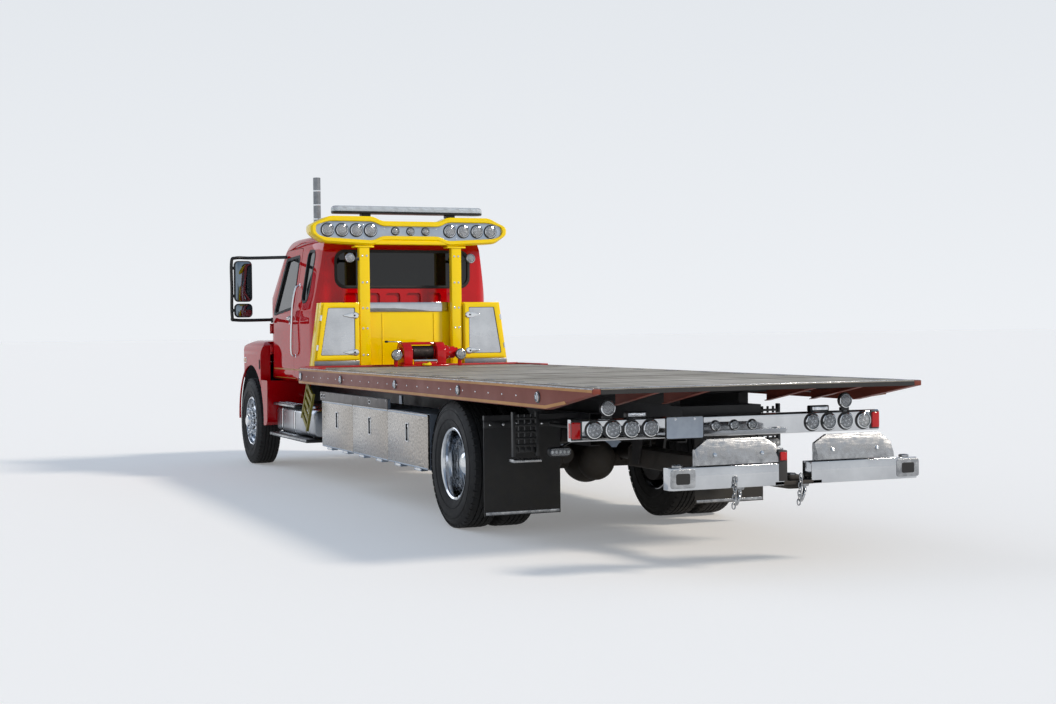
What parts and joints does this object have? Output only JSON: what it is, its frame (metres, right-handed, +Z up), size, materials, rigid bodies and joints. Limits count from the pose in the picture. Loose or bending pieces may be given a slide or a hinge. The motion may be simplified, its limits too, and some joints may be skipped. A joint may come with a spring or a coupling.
{
  "type": "flatbed tow truck",
  "caption": "Flatbed tow truck with a conventional extended cab, a sliding and tilting deck, lamp pylon, winch, side boxes and a rear wheel lift.",
  "frame": {"origin": "on the ground, half-way between the front bumper and the wheel lift's crossbar, on the truck's centreline", "axes": "+X forward, +Y to the truck's left, +Z up"},
  "size_m": [11.37, 3.08, 3.365],
  "materials": {
    "frame_black": "satin",
    "tyre": "matte",
    "rim": "polished",
    "cab_red": "gloss",
    "glass": "clear",
    "seat": "woven",
    "dash": "grained",
    "black_plastic": "satin",
    "chrome": "polished",
    "tank": "brushed",
    "step_black": "textured",
    "steel_box": "brushed",
    "steel_polished": "polished",
    "rubber": "matte",
    "deck_steel": "worn",
    "rail_maroon": "gloss",
    "yellow": "gloss",
    "beacon": "clear",
    "winch_red": "gloss",
    "cable": "wound",
    "engine": "painted",
    "rod_chrome": "polished"
  },
  "bodies": {
    "chassis": {"chassis_frame": "frame_black", "front_axle": "frame_black", "rear_axle": "frame_black", "drive_shaft": "frame_black", "engine_block": "engine", "front_bumper": "chrome", "fuel_tanks": "tank", "cab_steps": "step_black", "cab_skirts": "cab_red", "side_boxes": "steel_box", "mudflaps": "rubber", "cab_shell": "cab_red", "cab_glass": "glass", "seats": "seat", "dashboard": "dash", "roof_mast": "chrome"},
    "steering_wheel": {"steering_wheel": "black_plastic"},
    "door_left": {"door_left": "cab_red", "door_glass_left": "glass", "mirror_left": "black_plastic"},
    "door_right": {"door_right": "cab_red", "door_glass_right": "glass", "mirror_right": "black_plastic"},
    "hood": {"hood": "cab_red", "grille": "chrome"},
    "knuckle_left": {"knuckle_left": "frame_black"},
    "knuckle_right": {"knuckle_right": "frame_black"},
    "wheel_front_left": {"front_rim_left": "rim", "front_tyre_left": "tyre"},
    "wheel_front_right": {"front_rim_right": "rim", "front_tyre_right": "tyre"},
    "wheels_rear_left": {"rear_rims_left": "rim", "rear_tyres_left": "tyre"},
    "wheels_rear_right": {"rear_rims_right": "rim", "rear_tyres_right": "tyre"},
    "tilt_frame": {"tilt_frame": "frame_black", "tail_lamp_bar": "steel_polished"},
    "deck": {"deck": "deck_steel", "side_rails": "rail_maroon", "headboard": "yellow", "beacon_bar": "beacon", "winch_frame": "winch_red"},
    "winch_drum": {"winch_drum": "cable"},
    "cabinet_door_left": {"cabinet_door_left": "steel_polished"},
    "cabinet_door_right": {"cabinet_door_right": "steel_polished"},
    "tilt_barrels": {"tilt_barrels": "frame_black"},
    "tilt_rods": {"tilt_rods": "rod_chrome"},
    "underlift_boom": {"underlift_boom": "frame_black"},
    "underlift_stinger": {"underlift_stinger": "frame_black"},
    "underlift_crossbar": {"underlift_crossbar": "frame_black"},
    "box_door_left_front": {"box_door_left_front": "steel_polished"},
    "box_door_left_middle": {"box_door_left_middle": "steel_polished"},
    "box_door_left_rear": {"box_door_left_rear": "steel_polished"},
    "box_door_right_front": {"box_door_right_front": "steel_polished"},
    "box_door_right_middle": {"box_door_right_middle": "steel_polished"},
    "box_door_right_rear": {"box_door_right_rear": "steel_polished"}
  },
  "joints": [
    {"name": "steer_left", "type": "hinge", "parent": "chassis", "child": "knuckle_left", "pos_m": [4.885, 0.83, 0.48], "axis": [0, 0, 1], "range_deg": [-35, 35]},
    {"name": "front_wheel_left_spin", "type": "hinge", "parent": "knuckle_left", "child": "wheel_front_left", "pos_m": [4.885, 1.05, 0.525], "axis": [0, 1, 0], "continuous": true},
    {"name": "rear_wheels_left_spin", "type": "hinge", "parent": "chassis", "child": "wheels_rear_left", "pos_m": [-2.365, 1.08, 0.525], "axis": [0, 1, 0], "continuous": true},
    {"name": "door_left_hinge", "type": "hinge", "parent": "chassis", "child": "door_left", "pos_m": [4.339, 1.044, 1.485], "axis": [0, 0, -1], "range_deg": [0, 65]},
    {"name": "box_left_front_hinge", "type": "hinge", "parent": "chassis", "child": "box_door_left_front", "pos_m": [1.00167, 1.188, 0.412], "axis": [-1, 0, 0], "range_deg": [0, 90]},
    {"name": "box_left_middle_hinge", "type": "hinge", "parent": "chassis", "child": "box_door_left_middle", "pos_m": [-0.105, 1.188, 0.412], "axis": [-1, 0, 0], "range_deg": [0, 90]},
    {"name": "box_left_rear_hinge", "type": "hinge", "parent": "chassis", "child": "box_door_left_rear", "pos_m": [-1.21167, 1.188, 0.412], "axis": [-1, 0, 0], "range_deg": [0, 90]},
    {"name": "cabinet_left_hinge", "type": "hinge", "parent": "deck", "child": "cabinet_door_left", "pos_m": [2.1253, 1.08786, 1.3845], "axis": [0, 0.1345, -0.9909], "range_deg": [0, 100]},
    {"name": "steer_right", "type": "hinge", "parent": "chassis", "child": "knuckle_right", "pos_m": [4.885, -0.83, 0.48], "axis": [0, 0, 1], "range_deg": [-35, 35]},
    {"name": "front_wheel_right_spin", "type": "hinge", "parent": "knuckle_right", "child": "wheel_front_right", "pos_m": [4.885, -1.05, 0.525], "axis": [0, 1, 0], "continuous": true},
    {"name": "rear_wheels_right_spin", "type": "hinge", "parent": "chassis", "child": "wheels_rear_right", "pos_m": [-2.365, -1.08, 0.525], "axis": [0, 1, 0], "continuous": true},
    {"name": "door_right_hinge", "type": "hinge", "parent": "chassis", "child": "door_right", "pos_m": [4.339, -1.044, 1.485], "axis": [0, 0, 1], "range_deg": [0, 65]},
    {"name": "box_right_front_hinge", "type": "hinge", "parent": "chassis", "child": "box_door_right_front", "pos_m": [1.00167, -1.188, 0.412], "axis": [1, 0, 0], "range_deg": [0, 90]},
    {"name": "box_right_middle_hinge", "type": "hinge", "parent": "chassis", "child": "box_door_right_middle", "pos_m": [-0.105, -1.188, 0.412], "axis": [1, 0, 0], "range_deg": [0, 90]},
    {"name": "box_right_rear_hinge", "type": "hinge", "parent": "chassis", "child": "box_door_right_rear", "pos_m": [-1.21167, -1.188, 0.412], "axis": [1, 0, 0], "range_deg": [0, 90]},
    {"name": "cabinet_right_hinge", "type": "hinge", "parent": "deck", "child": "cabinet_door_right", "pos_m": [2.1253, -1.08786, 1.3845], "axis": [0, 0.1345, 0.9909], "range_deg": [0, 100]},
    {"name": "steering_wheel_turn", "type": "hinge", "parent": "chassis", "child": "steering_wheel", "pos_m": [4.045, 0.49, 1.845], "axis": [-0.8192, 0, 0.5736], "range_deg": [-430, 430]},
    {"name": "hood_hinge", "type": "hinge", "parent": "chassis", "child": "hood", "pos_m": [5.639, 0, 0.75], "axis": [0, 1, 0], "range_deg": [0, 75]},
    {"name": "deck_tilt", "type": "hinge", "parent": "chassis", "child": "tilt_frame", "pos_m": [-3.265, 0, 0.83], "axis": [0, -1, 0], "range_deg": [0, 12]},
    {"name": "deck_slide", "type": "slide", "parent": "tilt_frame", "child": "deck", "axis": [-1, 0, 0], "range_m": [0, 3.2]},
    {"name": "winch_drum_turn", "type": "hinge", "parent": "deck", "child": "winch_drum", "pos_m": [1.845, 0, 1.3745], "axis": [0, 1, 0], "continuous": true},
    {"name": "tilt_cylinder_swing", "type": "hinge", "parent": "chassis", "child": "tilt_barrels", "pos_m": [0.135, 0, 0.68], "axis": [0, 1, 0], "range_deg": [-1, 20]},
    {"name": "tilt_cylinder_stroke", "type": "slide", "parent": "tilt_barrels", "child": "tilt_rods", "axis": [-0.9752, 0, 0.2213], "range_m": [-0.01, 0.3]},
    {"name": "underlift_lift", "type": "hinge", "parent": "tilt_frame", "child": "underlift_boom", "pos_m": [-3.515, 0, 0.61], "axis": [0, 1, 0], "range_deg": [-8, 0]},
    {"name": "underlift_reach", "type": "slide", "parent": "underlift_boom", "child": "underlift_stinger", "axis": [1, 0, 0], "range_m": [-1.1, 0]},
    {"name": "crossbar_swivel", "type": "hinge", "parent": "underlift_stinger", "child": "underlift_crossbar", "pos_m": [-5.585, 0, 0.61], "axis": [0, 0, 1], "range_deg": [-15, 15]}
  ],
  "couplings": [
    {"joint": "steer_right", "follows": "steer_left", "ratio": 1},
    {"joint": "steering_wheel_turn", "follows": "steer_left", "ratio": 12},
    {"joint": "tilt_cylinder_swing", "follows": "deck_tilt", "ratio": 1.2592},
    {"joint": "tilt_cylinder_stroke", "follows": "deck_tilt", "m_per_rad": 1.0691}
  ]
}
